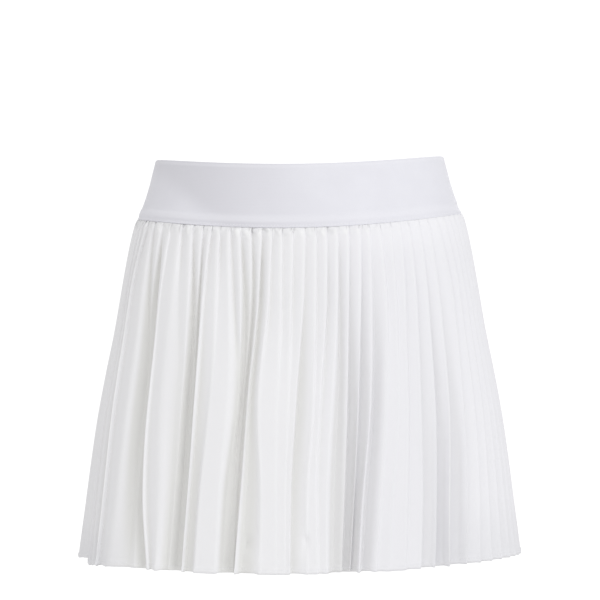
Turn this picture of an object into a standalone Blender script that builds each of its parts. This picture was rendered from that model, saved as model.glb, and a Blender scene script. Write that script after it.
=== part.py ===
"""A pleated tennis skirt, filled out as worn: a wide elastic waistband over a skirt of narrow knife pleats.

The origin is the centre of the waist opening at half the waistband's height. +Z is up and the front faces
-Y. Each half ring runs anticlockwise seen from above: the front from the -X side seam to the +X one, and the
back from there on.
"""

import math
from collections import namedtuple

import bpy
import numpy as np

# Sizes in metres.
BAND_HEIGHT = 0.053  # top edge to seam, measured upright at the side seams
SKIRT_DROP = 0.3045  # seam to hem, measured upright at the side seams
BAND_THICKNESS = 0.0020
CLOTH_THICKNESS = 0.0012
SEAM_GAP = 0.0003  # between pieces that are sewn together
ROUNDNESS = 2.3  # exponent of every cross-section: 2 is an ellipse, more is squarer

PLEATS_PER_HALF = 43
BAND_COLUMNS = 32
ARC_STEPS = 180  # steps that measure a quarter of a cross-section
SPRUNG_AT = 0.4  # share of the drop at which the pressed pleats have sprung fully open
SHELF_START = 0.25  # share of the drop at which level shelves begin to form
SHELF_GROWTH = 0.45  # share of the drop over which they form
SHELF_END = 0.72  # share of the way from a valley to the next crease at which a level shelf ends
PANEL_RISE = 0.88  # share of the valley's depth that a pleat without a shelf has risen by there
SEAM_DEPTH = 0.0012  # of the pleats where they are sewn to the band
SPRUNG_DEPTH = 0.0030  # of the pleats just below the seam
CREASE_SPACE = 0.45  # least distance between neighbouring creases, in even pleats
VALLEY_SPACE = 0.26  # least share of its pleat that a valley keeps from the creases beside it
LONGEST_MITRE = 1.9  # limit on how far a corner of the wall may stand out, in half thicknesses
SHARP_ANGLE = 35  # degrees between faces from which an edge is drawn sharp

Cloth = namedtuple("Cloth", "name colour roughness")
BAND_CLOTH = Cloth("waistband_knit", (0.76, 0.76, 0.80), 0.75)
SKIRT_CLOTH = Cloth("pleated_cloth", (0.86, 0.86, 0.87), 0.70)

# One row for each ring of the waistband. drop is below the top edge, each dip is how much lower the ring
# hangs at the centre than at the side seams, lean is its rise per metre towards +X because the garment is
# worn a little higher on that side, relief is how far the outside stands proud, and edge_in is what the
# rounded edges lose on both sides.
BandRow = namedtuple("BandRow", "drop half_width front_depth back_depth front_dip back_dip lean "
                     "relief edge_in")
BAND_ROWS = (
    BandRow(0.0000, 0.1296, 0.0900, 0.0920, 0.0071, 0.0040, 0.0135, 0.0000, 0.0006),
    BandRow(0.0015, 0.1301, 0.0903, 0.0923, 0.0071, 0.0040, 0.0136, 0.0000, 0.0000),
    BandRow(0.0115, 0.1327, 0.0925, 0.0948, 0.0078, 0.0044, 0.0145, 0.0000, 0.0000),
    BandRow(0.0230, 0.1356, 0.0955, 0.0980, 0.0087, 0.0048, 0.0158, 0.0000, 0.0000),
    BandRow(0.0350, 0.1393, 0.0986, 0.1014, 0.0095, 0.0052, 0.0173, 0.0000, 0.0000),
    BandRow(0.0462, 0.1438, 0.1022, 0.1053, 0.0104, 0.0056, 0.0187, 0.0006, 0.0000),
    BandRow(0.0505, 0.1453, 0.1035, 0.1067, 0.0108, 0.0057, 0.0190, -0.0001, 0.0000),
    BandRow(0.0520, 0.1459, 0.1040, 0.1072, 0.0110, 0.0058, 0.0191, 0.0003, 0.0000),
    BandRow(BAND_HEIGHT, 0.1463, 0.1043, 0.1075, 0.0111, 0.0058, 0.0192, 0.0000, 0.0004),
)

# One row for each ring of the skirt. drop is below the seam, and the half sizes reach the pleats' outer
# creases.
SkirtRow = namedtuple("SkirtRow", "drop half_width front_depth back_depth front_dip back_dip lean")
SKIRT_ROWS = (
    SkirtRow(0.0000, 0.1468, 0.1048, 0.1080, 0.0111, 0.0058, 0.0192),
    SkirtRow(0.0050, 0.1488, 0.1066, 0.1100, 0.0110, 0.0058, 0.0192),
    SkirtRow(0.0150, 0.1516, 0.1090, 0.1132, 0.0108, 0.0058, 0.0188),
    SkirtRow(0.0350, 0.1558, 0.1118, 0.1174, 0.0107, 0.0058, 0.0182),
    SkirtRow(0.0620, 0.1607, 0.1156, 0.1228, 0.0106, 0.0059, 0.0176),
    SkirtRow(0.1000, 0.1672, 0.1203, 0.1290, 0.0104, 0.0059, 0.0166),
    SkirtRow(0.1400, 0.1753, 0.1247, 0.1340, 0.0102, 0.0060, 0.0158),
    SkirtRow(0.1800, 0.1827, 0.1287, 0.1378, 0.0100, 0.0060, 0.0150),
    SkirtRow(0.2200, 0.1886, 0.1322, 0.1408, 0.0098, 0.0061, 0.0144),
    SkirtRow(0.2600, 0.1938, 0.1355, 0.1434, 0.0096, 0.0061, 0.0139),
    SkirtRow(SKIRT_DROP, 0.1998, 0.1387, 0.1460, 0.0095, 0.0062, 0.0135),
)

# The front's creases, counted from the -X side seam, and even between the rows. The first five places are
# where a crease hangs at the shares of the drop in PLACE_LEVELS, in even pleats. Depths are in millimetres
# inward at the shares in DEPTH_LEVELS: out_ of the crease itself, and in_ of the valley on its right.
# valley_at is the valley's share of the way to the next crease. With a shelf of 1 the lower cloth lies
# level from the valley to shortly before the next crease, and with 0 it slopes evenly.
PLACE_LEVELS = (0.0, 0.2, 0.5, 0.79, 1.0)
DEPTH_LEVELS = (0.0, 0.025, 0.2, 0.5, 1.0)
Crease = namedtuple("Crease", "index seam upper middle lower hem "
                    "out_upper out_middle out_hem in_upper in_middle in_hem valley_at shelf")
FRONT_CREASES = (
    Crease(0, 0.00, 0.00, 0.00, 0.00, 0.00, 0.0, 0.0, 0.0, 3.6, 2.0, 2.8, 0.15, 0.0),
    Crease(3, 2.80, 2.55, 2.60, 2.85, 3.15, 0.0, 0.0, 1.4, 3.6, 2.8, 4.6, 0.80, 0.0),
    Crease(4, 3.70, 3.40, 3.50, 3.85, 4.45, 0.0, 0.0, 0.0, 4.0, 3.0, 3.4, 0.15, 0.0),
    Crease(5, 4.60, 4.10, 4.35, 4.75, 5.10, 0.4, 0.8, 1.0, 7.0, 8.0, 8.5, 0.55, 0.0),
    Crease(6, 5.45, 4.92, 5.30, 5.74, 5.80, -1.0, -1.5, -1.5, 3.4, 3.8, 4.8, 0.02, 0.0),
    Crease(7, 6.50, 6.76, 7.16, 7.34, 7.18, 0.0, 0.0, -0.5, 5.8, 10.5, 3.0, 0.75, 0.0),
    Crease(8, 7.80, 7.72, 8.50, 9.00, 9.45, 3.0, 9.5, 2.4, 8.2, 11.5, 8.2, 0.60, 0.0),
    Crease(9, 8.95, 8.90, 9.28, 9.74, 10.62, 0.0, 0.0, 0.0, 1.8, 2.4, 4.4, 0.10, 0.0),
    Crease(10, 10.12, 10.52, 10.84, 11.28, 11.40, -0.2, -0.2, 0.0, 2.2, 3.0, 5.5, 0.70, 0.0),
    Crease(11, 11.32, 11.84, 12.10, 12.25, 12.18, 0.4, 3.0, 5.0, 6.8, 11.0, 12.0, 0.40, 0.0),
    Crease(12, 12.35, 12.55, 12.90, 13.02, 13.00, 3.0, 9.0, 9.8, 6.0, 10.6, 11.2, 0.45, 0.0),
    Crease(13, 13.22, 13.20, 13.27, 13.32, 13.32, 0.0, 0.0, 0.0, 3.2, 4.6, 6.6, 0.14, 0.6),
    Crease(14, 14.12, 14.36, 14.50, 14.26, 14.12, 0.0, 0.0, 0.0, 2.2, 0.4, 0.6, 0.15, 0.0),
    Crease(15, 15.06, 15.50, 15.98, 15.74, 15.64, 0.0, 0.0, 0.2, 4.4, 3.0, 5.0, 0.60, 0.0),
    Crease(16, 16.04, 16.50, 16.70, 16.20, 16.10, 0.0, 6.2, 8.6, 7.0, 10.4, 11.4, 0.45, 0.0),
    Crease(17, 17.04, 17.30, 17.10, 16.84, 16.76, 2.6, 9.2, 9.8, 6.8, 10.4, 10.8, 0.50, 0.0),
    Crease(18, 18.04, 18.00, 17.48, 17.20, 17.04, 1.4, 2.6, 0.0, 6.8, 6.6, 6.4, 0.25, 0.4),
    Crease(19, 18.98, 18.88, 18.34, 18.66, 18.70, 0.0, 0.0, 0.0, 3.8, 0.8, 0.6, 0.15, 0.0),
    Crease(20, 19.92, 19.92, 19.80, 19.76, 19.80, 0.0, 0.0, 0.0, 3.4, 0.6, 0.4, 0.15, 0.0),
    Crease(21, 20.93, 20.80, 20.68, 20.42, 20.44, 0.0, 0.0, 0.0, 3.8, 0.8, 0.4, 0.15, 0.0),
    Crease(22, 22.02, 21.84, 21.24, 20.78, 20.80, 0.0, 0.0, 0.0, 4.2, 6.0, 2.6, 0.08, 0.3),
    Crease(23, 23.02, 22.92, 22.54, 21.98, 22.05, 0.0, 0.0, 0.0, 3.8, 0.8, 0.4, 0.15, 0.0),
    Crease(24, 24.02, 23.76, 23.12, 22.66, 22.70, 0.0, 0.0, 0.0, 4.8, 3.6, 2.2, 0.15, 0.0),
    Crease(25, 25.08, 24.69, 24.05, 23.52, 23.34, 0.0, 0.4, 0.4, 6.0, 7.6, 8.6, 0.40, 0.0),
    Crease(26, 26.10, 25.70, 25.12, 24.76, 24.42, 0.3, 1.8, 4.6, 5.2, 9.6, 14.0, 0.15, 0.5),
    Crease(27, 27.14, 26.72, 26.10, 25.38, 24.98, 0.3, 1.4, 6.6, 5.2, 9.4, 11.0, 0.15, 0.4),
    Crease(28, 28.02, 27.72, 26.96, 26.04, 25.60, 0.3, 0.6, -1.4, 4.4, 9.0, 10.0, 0.28, 0.1),
    Crease(29, 29.04, 28.98, 28.22, 27.28, 26.70, 0.0, 0.0, 0.0, 2.4, 0.6, 2.2, 0.20, 0.0),
    Crease(30, 30.10, 29.90, 29.14, 28.26, 27.80, 0.0, 0.0, 0.0, 2.0, 0.5, 0.8, 0.15, 0.0),
    Crease(31, 31.05, 30.72, 30.05, 29.27, 28.85, 0.0, 0.0, 0.0, 3.4, 2.8, 2.0, 0.15, 0.5),
    Crease(32, 31.95, 31.72, 31.00, 30.34, 29.88, 0.0, 0.0, 0.6, 3.8, 4.8, 6.4, 0.15, 0.6),
    Crease(33, 33.06, 32.84, 32.10, 31.46, 31.00, 0.0, 0.0, 0.2, 4.0, 7.6, 12.0, 0.12, 0.5),
    Crease(34, 34.20, 34.12, 33.38, 32.66, 32.14, 0.0, -0.8, -1.2, 3.2, 6.6, 12.0, 0.12, 0.55),
    Crease(35, 35.30, 35.70, 34.95, 34.32, 33.58, 0.0, 0.0, 0.0, 3.2, 2.8, 3.0, 0.15, 0.5),
    Crease(36, 36.30, 36.68, 36.18, 35.48, 34.88, 0.0, 0.0, 0.0, 3.0, 2.6, 4.2, 0.15, 0.5),
    Crease(43, 43.00, 43.00, 43.00, 43.00, 43.00, 0.0, 0.0, 0.0, 3.0, 2.6, 4.2, 0.15, 0.5),
)

# The back hangs in folds of the same sizes, BACK_ROLL pleats further on, and swings its own way. Each row
# is a crease and its places as above.
BACK_ROLL = 17
Swing = namedtuple("Swing", "index seam upper middle lower hem")
BACK_SWINGS = (
    Swing(0, 0.0, 0.0, 0.0, 0.0, 0.0),
    Swing(7, 7.0, 6.9, 6.6, 6.4, 6.2),
    Swing(12, 12.1, 12.1, 12.3, 12.7, 13.0),
    Swing(19, 18.9, 19.0, 19.3, 19.6, 19.7),
    Swing(26, 26.1, 26.0, 25.6, 25.1, 24.8),
    Swing(33, 33.0, 33.2, 33.5, 34.0, 34.2),
    Swing(38, 38.1, 38.2, 38.1, 37.9, 37.8),
    Swing(43, 43.0, 43.0, 43.0, 43.0, 43.0),
)


def quarter_arc(half_width, half_depth):
    """Points of a quarter of a cross-section, from centre line to side, with their distances along it."""
    points = []
    travelled = 0.0
    for step in range(ARC_STEPS + 1):
        angle = 0.5 * math.pi * step / ARC_STEPS
        x = half_width * math.sin(angle) ** (2 / ROUNDNESS)
        y = half_depth * max(0.0, math.cos(angle)) ** (2 / ROUNDNESS)
        if points:
            travelled += math.hypot(x - points[-1][1], y - points[-1][2])
        points.append((travelled, x, y))
    return points


def at_distance(arc, distance):
    """The point that far along an arc, in x and y."""
    for before, after in zip(arc, arc[1:]):
        if after[0] >= distance:
            share = (distance - before[0]) / (after[0] - before[0])
            return tuple(b + share * (a - b) for b, a in zip(before[1:], after[1:]))
    return arc[-1][1:]


class HalfRing:
    """One cross-section of the front or the back half, from side seam to side seam."""

    def __init__(self, half_width, half_depth, is_front):
        self.half_width = half_width
        self.half_depth = half_depth
        self.turn = 1 if is_front else -1
        self.arc = quarter_arc(half_width, half_depth)

    def place(self, share, outward):
        """The point at a share of the way round, moved outward, in x and y."""
        x, y = self.base(share)
        normal_x, normal_y = self.normal(share)
        return x + outward * normal_x, y + outward * normal_y

    def base(self, share):
        length = self.arc[-1][0]
        along = (2 * share - 1) * length
        room = length - SEAM_GAP / 2
        x, y = at_distance(self.arc, min(abs(along), room))
        return math.copysign(x, along) * self.turn, -y * self.turn

    def normal(self, share):
        x, y = self.base(share)
        slope_x = math.copysign((abs(x) / self.half_width) ** (ROUNDNESS - 1) / self.half_width, x)
        slope_y = math.copysign((abs(y) / self.half_depth) ** (ROUNDNESS - 1) / self.half_depth, y)
        steep = math.hypot(slope_x, slope_y)
        return slope_x / steep, slope_y / steep

    def lowered(self, share, dip, lean):
        """How far the dip at the centre and the lean lower the point at a share of the way round."""
        x = self.base(share)[0]
        return dip * (1 - (x / self.half_width) ** 2) - lean * x


def mitred(line, ends):
    """The outward direction at each point of a line, long enough for an even wall round its corners."""
    ways = []
    for (x0, y0), (x1, y1) in zip(line, line[1:]):
        length = math.hypot(x1 - x0, y1 - y0)
        ways.append(((y1 - y0) / length, (x0 - x1) / length))
    found = [ends[0]]
    for first, second in zip(ways, ways[1:]):
        x, y = first[0] + second[0], first[1] + second[1]
        length = math.hypot(x, y)
        reach = min(LONGEST_MITRE, 2 / length)
        found.append((x / length * reach, y / length * reach))
    found.append(ends[1])
    return found


def wall_object(name, outside, inside, material):
    """A closed wall between two grids of points that have the same rows and columns."""
    rows, columns = len(outside), len(outside[0])
    points = [p for row in outside for p in row] + [p for row in inside for p in row]
    inner = rows * columns
    faces = []
    for r in range(rows - 1):
        for c in range(columns - 1):
            a, b = r * columns + c, r * columns + c + 1
            d, e = a + columns, b + columns
            faces.append((a, d, e, b))
            faces.append((inner + a, inner + b, inner + e, inner + d))
    for c in range(columns - 1):
        low = (rows - 1) * columns + c
        faces.append((c, c + 1, inner + c + 1, inner + c))
        faces.append((low, inner + low, inner + low + 1, low + 1))
    for r in range(rows - 1):
        start, end = r * columns, r * columns + columns - 1
        faces.append((start, inner + start, inner + start + columns, start + columns))
        faces.append((end, end + columns, inner + end + columns, inner + end))
    mesh = bpy.data.meshes.new(name)
    mesh.from_pydata(points, [], faces)
    mesh.shade_smooth()
    mesh.set_sharp_from_angle(angle=math.radians(SHARP_ANGLE))
    mesh.materials.append(material)
    piece = bpy.data.objects.new(name, mesh)
    bpy.context.scene.collection.objects.link(piece)
    return piece


def cloth_material(cloth):
    material = bpy.data.materials.new(cloth.name)
    material.use_nodes = True
    shader = material.node_tree.nodes["Principled BSDF"]
    shader.inputs["Base Color"].default_value = (*cloth.colour, 1.0)
    shader.inputs["Roughness"].default_value = cloth.roughness
    shader.inputs["Metallic"].default_value = 0.0
    return material


def make_band(name, is_front, material):
    """Half of the waistband: a smooth upright wall with a ridge, a groove and a lip above the seam."""
    top = BAND_HEIGHT / 2
    outside, inside = [], []
    for row in BAND_ROWS:
        ring = HalfRing(row.half_width, row.front_depth if is_front else row.back_depth, is_front)
        dip = row.front_dip if is_front else row.back_dip
        raised = SEAM_GAP / 2 if row.drop == BAND_HEIGHT else 0.0
        outer_row, inner_row = [], []
        for column in range(BAND_COLUMNS + 1):
            share = column / BAND_COLUMNS
            z = top - row.drop + raised - ring.lowered(share, dip, row.lean)
            outer_row.append((*ring.place(share, row.relief - row.edge_in), z))
            inner_row.append((*ring.place(share, row.edge_in - BAND_THICKNESS), z))
        outside.append(outer_row)
        inside.append(inner_row)
    return wall_object(name, outside, inside, material)


def smooth_curve(stops, values, place):
    """The value at a place on a smooth curve through the stops that never overshoots them."""
    stops, values = np.asarray(stops, float), np.asarray(values, float)
    run = np.diff(stops)
    slope = np.diff(values) / run
    before, after = slope[:-1], slope[1:]
    agree = before * after > 0
    bent = np.where(agree, 2 * before * after / np.where(agree, before + after, 1.0), 0.0)
    tangent = np.concatenate(([slope[0]], bent, [slope[-1]]))
    i = min(max(int(np.searchsorted(stops, place, side="right")) - 1, 0), len(run) - 1)
    t = (place - stops[i]) / run[i]
    rise = values[i] + (values[i + 1] - values[i]) * t * t * (3 - 2 * t)
    return rise + run[i] * t * (1 - t) * ((1 - t) * tangent[i] - t * tangent[i + 1])


def by_crease(rows, name):
    """A column of a table for every crease, even between its rows."""
    index = [row.index for row in rows]
    return np.interp(range(PLEATS_PER_HALF + 1), index, [getattr(row, name) for row in rows])


def at_drop(levels, columns, drop_share):
    """Values for every crease at a share of the drop, from their values at a few levels."""
    return np.array([smooth_curve(levels, values, drop_share) for values in zip(*columns)])


def spaced(places):
    """Places moved on where they crowd, so that a wall fits between neighbouring creases."""
    found = list(places)
    for i in range(1, len(found)):
        found[i] = max(found[i], found[i - 1] + CREASE_SPACE)
    for i in range(len(found) - 2, -1, -1):
        found[i] = min(found[i], found[i + 1] - CREASE_SPACE)
    found[0] = places[0]
    return found


def cloth_corners(is_front, drop_share):
    """The cloth's line at a share of the drop: crease, valley and shelf in turn, in pleats and metres inward."""
    roll = 0 if is_front else BACK_ROLL

    def depths(kind, at_seam):
        tops = [np.full(PLEATS_PER_HALF + 1, value) for value in at_seam]
        folds = [by_crease(FRONT_CREASES, kind + level) / 1000 for level in ("upper", "middle", "hem")]
        return at_drop(DEPTH_LEVELS, tops + [np.roll(fold, roll) for fold in folds], drop_share)

    rows = FRONT_CREASES if is_front else BACK_SWINGS
    places = [by_crease(rows, level) for level in Swing._fields[1:]]
    place = spaced(at_drop(PLACE_LEVELS, places, drop_share))
    out = depths("out_", (0.0, 0.0)).clip(0)
    out[0] = out[-1] = 0.0
    into = depths("in_", (SEAM_DEPTH, SPRUNG_DEPTH))
    valley_at = np.roll(by_crease(FRONT_CREASES, "valley_at"), roll)
    shelf = np.roll(by_crease(FRONT_CREASES, "shelf"), roll)
    sprung = min(1.0, drop_share / SPRUNG_AT)
    formed = min(1.0, max(0.0, (drop_share - SHELF_START) / SHELF_GROWTH))
    corners = []
    for i in range(PLEATS_PER_HALF):
        gap = place[i + 1] - place[i]
        aside = min(max(sprung * valley_at[i], VALLEY_SPACE), 1 - VALLEY_SPACE)
        valley = place[i] + aside * gap
        bend = valley + SHELF_END * (place[i + 1] - valley)
        level = PANEL_RISE * (1 - shelf[i] * formed)
        corners.append((place[i], out[i]))
        corners.append((valley, into[i]))
        corners.append((bend, into[i] + level * (out[i + 1] - into[i])))
    corners.append((place[-1], out[-1]))
    return corners


def make_skirt_panel(name, is_front, material):
    """Half of the pleated skirt: a thin wall through the corners of its pleats, ring by ring."""
    seam = -BAND_HEIGHT / 2
    half = CLOTH_THICKNESS / 2
    outside, inside = [], []
    for row in SKIRT_ROWS:
        ring = HalfRing(row.half_width, row.front_depth if is_front else row.back_depth, is_front)
        dip = row.front_dip if is_front else row.back_dip
        lowered = SEAM_GAP / 2 if row.drop == 0 else 0.0
        line, heights = [], []
        for place, inward in cloth_corners(is_front, row.drop / SKIRT_DROP):
            share = place / PLEATS_PER_HALF
            line.append(ring.place(share, -half - inward))
            heights.append(seam - row.drop - lowered - ring.lowered(share, dip, row.lean))
        ways = mitred(line, (ring.normal(0.0), ring.normal(1.0)))
        for grid, side in ((outside, half), (inside, -half)):
            moved = ((x + side * way_x, y + side * way_y) for (x, y), (way_x, way_y) in zip(line, ways))
            grid.append([(x, y, z) for (x, y), z in zip(moved, heights)])
    return wall_object(name, outside, inside, material)


def main():
    for thing in list(bpy.data.objects):
        bpy.data.objects.remove(thing)
    band_cloth = cloth_material(BAND_CLOTH)
    skirt_cloth = cloth_material(SKIRT_CLOTH)
    make_band("waistband_front", True, band_cloth)
    make_band("waistband_back", False, band_cloth)
    make_skirt_panel("skirt_front", True, skirt_cloth)
    make_skirt_panel("skirt_back", False, skirt_cloth)


main()
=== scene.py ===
import math
from collections import namedtuple

import bmesh
import bpy
import numpy as np
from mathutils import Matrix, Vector


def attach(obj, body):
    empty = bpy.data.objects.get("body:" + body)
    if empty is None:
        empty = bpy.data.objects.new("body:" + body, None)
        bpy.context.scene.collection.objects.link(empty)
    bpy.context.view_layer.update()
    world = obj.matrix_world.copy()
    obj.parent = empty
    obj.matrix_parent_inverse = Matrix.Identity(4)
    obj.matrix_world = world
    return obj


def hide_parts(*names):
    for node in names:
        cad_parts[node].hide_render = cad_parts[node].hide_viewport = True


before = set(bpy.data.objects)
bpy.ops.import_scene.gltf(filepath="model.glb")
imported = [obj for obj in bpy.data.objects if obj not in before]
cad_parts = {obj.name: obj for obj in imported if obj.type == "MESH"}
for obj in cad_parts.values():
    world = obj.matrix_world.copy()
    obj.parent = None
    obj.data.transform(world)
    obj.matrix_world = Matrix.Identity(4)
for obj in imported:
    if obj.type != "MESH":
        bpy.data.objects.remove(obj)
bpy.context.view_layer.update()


# --------------------------------------------------------------------------------------------------
# Waistband: a wide elastic, doubled over at the top edge and covered in smooth white knit. Front and
# back halves meet at the side seams. The elastic ends a little above the skirt, so the knit dips
# between it and the seam.

BAND_HEIGHT = 0.0530
BAND_THICKNESS = 0.0020
BAND_COLUMNS = 220
CRISP_ANGLE = math.radians(50)  # edges of the band that bend more than this stay crisp
ROUNDNESS = 2.3  # exponent of every cross-section: 2 is an ellipse, more is squarer
ARC_STEPS = 400  # steps that measure a quarter of a cross-section
SIDE_GAP = 0.00008  # from each half to the side seam's middle

# The band's outline ring by ring, as in the solids. drop is below the top edge, each dip is how much
# lower the ring hangs at the centre than at the sides, and lean is its rise per metre towards +X, where
# the skirt is worn higher.
Ring = namedtuple("Ring", "drop half_width front_depth back_depth front_dip back_dip lean")
BAND_RINGS = (
    Ring(0.0000, 0.1297, 0.0900, 0.0920, 0.0071, 0.0040, 0.0135),
    Ring(0.0115, 0.1327, 0.0925, 0.0948, 0.0078, 0.0044, 0.0145),
    Ring(0.0230, 0.1356, 0.0955, 0.0980, 0.0087, 0.0048, 0.0158),
    Ring(0.0350, 0.1393, 0.0986, 0.1014, 0.0095, 0.0052, 0.0173),
    Ring(0.0430, 0.1423, 0.1012, 0.1042, 0.0101, 0.0055, 0.0185),
    Ring(BAND_HEIGHT, 0.1463, 0.1043, 0.1075, 0.0111, 0.0058, 0.0192),
)

# How far the outer face stands proud down the band: the rounded top edge, the elastic's lower edge, the
# dip below it, and the lip where the skirt is sewn on.
Relief = namedtuple("Relief", "drop outward")
BAND_RELIEF = (
    Relief(0.0000, -0.0009),
    Relief(0.0004, -0.0004),
    Relief(0.0011, 0.0000),
    Relief(0.0025, 0.0001),
    Relief(0.0040, 0.0000),
    Relief(0.0385, 0.0000),
    Relief(0.0425, 0.0002),
    Relief(0.0456, 0.0009),
    Relief(0.0478, 0.0008),
    Relief(0.0508, -0.0001),
    Relief(0.0514, -0.0001),
    Relief(0.0521, 0.0003),
    Relief(0.0525, 0.0002),
    Relief(BAND_HEIGHT, -0.0005),
)
UNEVEN_BELOW = 0.02  # drop below which the relief differs round the band
RELIEF_SLOPE = 5.0  # share per metre by which it then grows towards -X, where the band is drawn tighter
RELIEF_FADE = 8  # power of the way from the centre by which it dies out at the side seams

# Small dents in the front of the band, along the elastic's lower edge, where the knit is pulled by the
# seam.
Dent = namedtuple("Dent", "x z half_width half_height depth")
BAND_DENTS = (
    Dent(0.0605, -0.0215, 0.0060, 0.0009, 0.00030),
    Dent(0.0840, -0.0190, 0.0075, 0.0009, 0.00030),
    Dent(0.1270, -0.0140, 0.0045, 0.0010, 0.00035),
    Dent(0.0205, -0.0090, 0.0025, 0.0018, 0.00025),
)


def smooth_curve(stops, values, places):
    """Values at the places asked for, on a smooth curve through the stops that never overshoots them."""
    stops, values, places = (np.asarray(a, float) for a in (stops, values, places))
    run = np.diff(stops)
    slope = np.diff(values) / run
    before, after = slope[:-1], slope[1:]
    agree = before * after > 0
    bent = np.where(agree, 2 * before * after / np.where(agree, before + after, 1.0), 0.0)
    tangent = np.concatenate(([slope[0]], bent, [slope[-1]]))
    i = np.clip(np.searchsorted(stops, places, side="right") - 1, 0, len(run) - 1)
    t = np.clip((places - stops[i]) / run[i], 0.0, 1.0)
    rise = values[i] + (values[i + 1] - values[i]) * t * t * (3 - 2 * t)
    return rise + run[i] * t * (1 - t) * ((1 - t) * tangent[i] - t * tangent[i + 1])


def column_of(rows, name):
    return [getattr(row, name) for row in rows]


def ring_size(rings, drop, is_front):
    """Half width, half depth, dip and lean of the cross-section at a drop."""
    side = "front" if is_front else "back"
    names = ("half_width", side + "_depth", side + "_dip", "lean")
    return [float(smooth_curve(column_of(rings, "drop"), column_of(rings, name), drop)) for name in names]


def quarter_arc(half_width, half_depth):
    """Points of a quarter of a cross-section, from centre line to side, and how far along it they lie."""
    angle = np.linspace(0, math.pi / 2, ARC_STEPS + 1)
    x = half_width * np.sin(angle) ** (2 / ROUNDNESS)
    y = half_depth * np.cos(angle).clip(0) ** (2 / ROUNDNESS)
    return x, y, np.concatenate(([0], np.cumsum(np.hypot(np.diff(x), np.diff(y)))))


def half_ring(half_width, half_depth, share, is_front):
    """Points round half a cross-section, anticlockwise seen from above, and their outward directions.

    share says how far round each of them lies, from 0 to 1.
    """
    x, y, travelled = quarter_arc(half_width, half_depth)
    length = travelled[-1]
    along = np.clip((2 * share - 1) * length, SIDE_GAP - length, length - SIDE_GAP)
    turn = 1 if is_front else -1
    point = np.stack((turn * np.sign(along) * np.interp(abs(along), travelled, x),
                      -turn * np.interp(abs(along), travelled, y)), axis=1)
    size = np.array((half_width, half_depth))
    outward = np.sign(point) * (abs(point) / size) ** (ROUNDNESS - 1) / size
    return point, outward / np.linalg.norm(outward, axis=1, keepdims=True)


def hang(x, half_width, dip, lean):
    """How far below its level a point hangs: the dip at the centre and the lean towards -X."""
    return dip * (1 - (x / half_width) ** 2) - lean * x


def grid_object(name, grid, uv, closed_rows=False):
    """A mesh on rows and columns of points, with a cloth map in metres. Its rows may close into a loop."""
    rows, columns = grid.shape[:2]
    index = np.arange(rows * columns).reshape(rows, columns)
    lower = np.roll(index, -1, axis=0) if closed_rows else index[1:]
    upper = index if closed_rows else index[:-1]
    faces = np.stack((upper[:, :-1], lower[:, :-1], lower[:, 1:], upper[:, 1:]), axis=-1).reshape(-1, 4)
    mesh = bpy.data.meshes.new(name)
    mesh.from_pydata(grid.reshape(-1, 3).tolist(), [], faces.tolist())
    corners = np.empty(len(mesh.loops), dtype=np.int32)
    mesh.loops.foreach_get("vertex_index", corners)
    layer = mesh.uv_layers.new(name="cloth")
    layer.data.foreach_set("uv", uv.reshape(-1, 2)[corners].astype(np.float32).ravel())
    mesh.shade_smooth()
    piece = bpy.data.objects.new(name, mesh)
    bpy.context.scene.collection.objects.link(piece)
    return piece


# Rows of points down the band: close together over the top edge and from the elastic's lower edge on.
TOP_EDGE_DROPS = column_of(BAND_RELIEF, "drop")[:5]
PLAIN_DROPS = np.linspace(0.0060, 0.0335, 16)
LOWER_DROPS = np.linspace(0.0350, BAND_HEIGHT, 45)
BAND_DROPS = np.concatenate((TOP_EDGE_DROPS, PLAIN_DROPS, LOWER_DROPS))


def dented(dents, x, z):
    """How far small dents press in the points of a row."""
    depth = np.zeros(len(x))
    for dent in dents:
        far = ((x - dent.x) / dent.half_width) ** 2 + ((z - dent.z) / dent.half_height) ** 2
        depth += dent.depth * np.exp(-far)
    return depth


def band_half(name, is_front):
    """One half of the band: down the outer face and up the inner one, closed at its edges and ends."""
    share = np.linspace(0, 1, BAND_COLUMNS + 1)
    relief = smooth_curve(column_of(BAND_RELIEF, "drop"), column_of(BAND_RELIEF, "outward"), BAND_DROPS)
    outside, inside = [], []
    for drop, proud in zip(BAND_DROPS, relief):
        half_width, half_depth, dip, lean = ring_size(BAND_RINGS, drop, is_front)
        point, outward = half_ring(half_width, half_depth, share, is_front)
        z = BAND_HEIGHT / 2 - drop - hang(point[:, 0], half_width, dip, lean)
        inset = np.zeros(len(share))
        if drop > UNEVEN_BELOW:
            inset = proud * (RELIEF_SLOPE * point[:, 0] + (point[:, 0] / half_width) ** RELIEF_FADE)
        if is_front:
            inset += dented(BAND_DENTS, point[:, 0], z)
        face = point + outward * (proud - inset)[:, None]
        back = point - outward * (BAND_THICKNESS + min(proud, 0.0))
        outside.append(np.column_stack((face, z)))
        inside.append(np.column_stack((back, z)))
    grid = np.array(outside + inside[::-1])
    # The map takes half of the band's lower edge for half a circle, which is near enough for the knit.
    across = share[None, :] * half_width * math.pi
    down = np.concatenate((BAND_DROPS, BAND_DROPS[::-1] + BAND_HEIGHT))[:, None]
    uv = np.stack(np.broadcast_arrays(across, down), axis=-1)
    piece = grid_object(name, grid, uv, closed_rows=True)
    cap_ends(piece, *grid.shape[:2])
    return piece


def cap_ends(piece, rows, columns):
    """Closes the loop of points at each end of the band with a strip of faces."""
    shape = bmesh.new()
    shape.from_mesh(piece.data)
    shape.verts.ensure_lookup_table()
    for column, step in ((0, 1), (columns - 1, -1)):
        for row in range(rows // 2 - 1):
            loop = (row, row + 1, rows - 2 - row, rows - 1 - row)[::-step]
            shape.faces.new([shape.verts[r * columns + column] for r in loop])
    shape.normal_update()
    shape.to_mesh(piece.data)
    shape.free()
    piece.data.shade_smooth()
    piece.data.set_sharp_from_angle(angle=CRISP_ANGLE)


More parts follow.
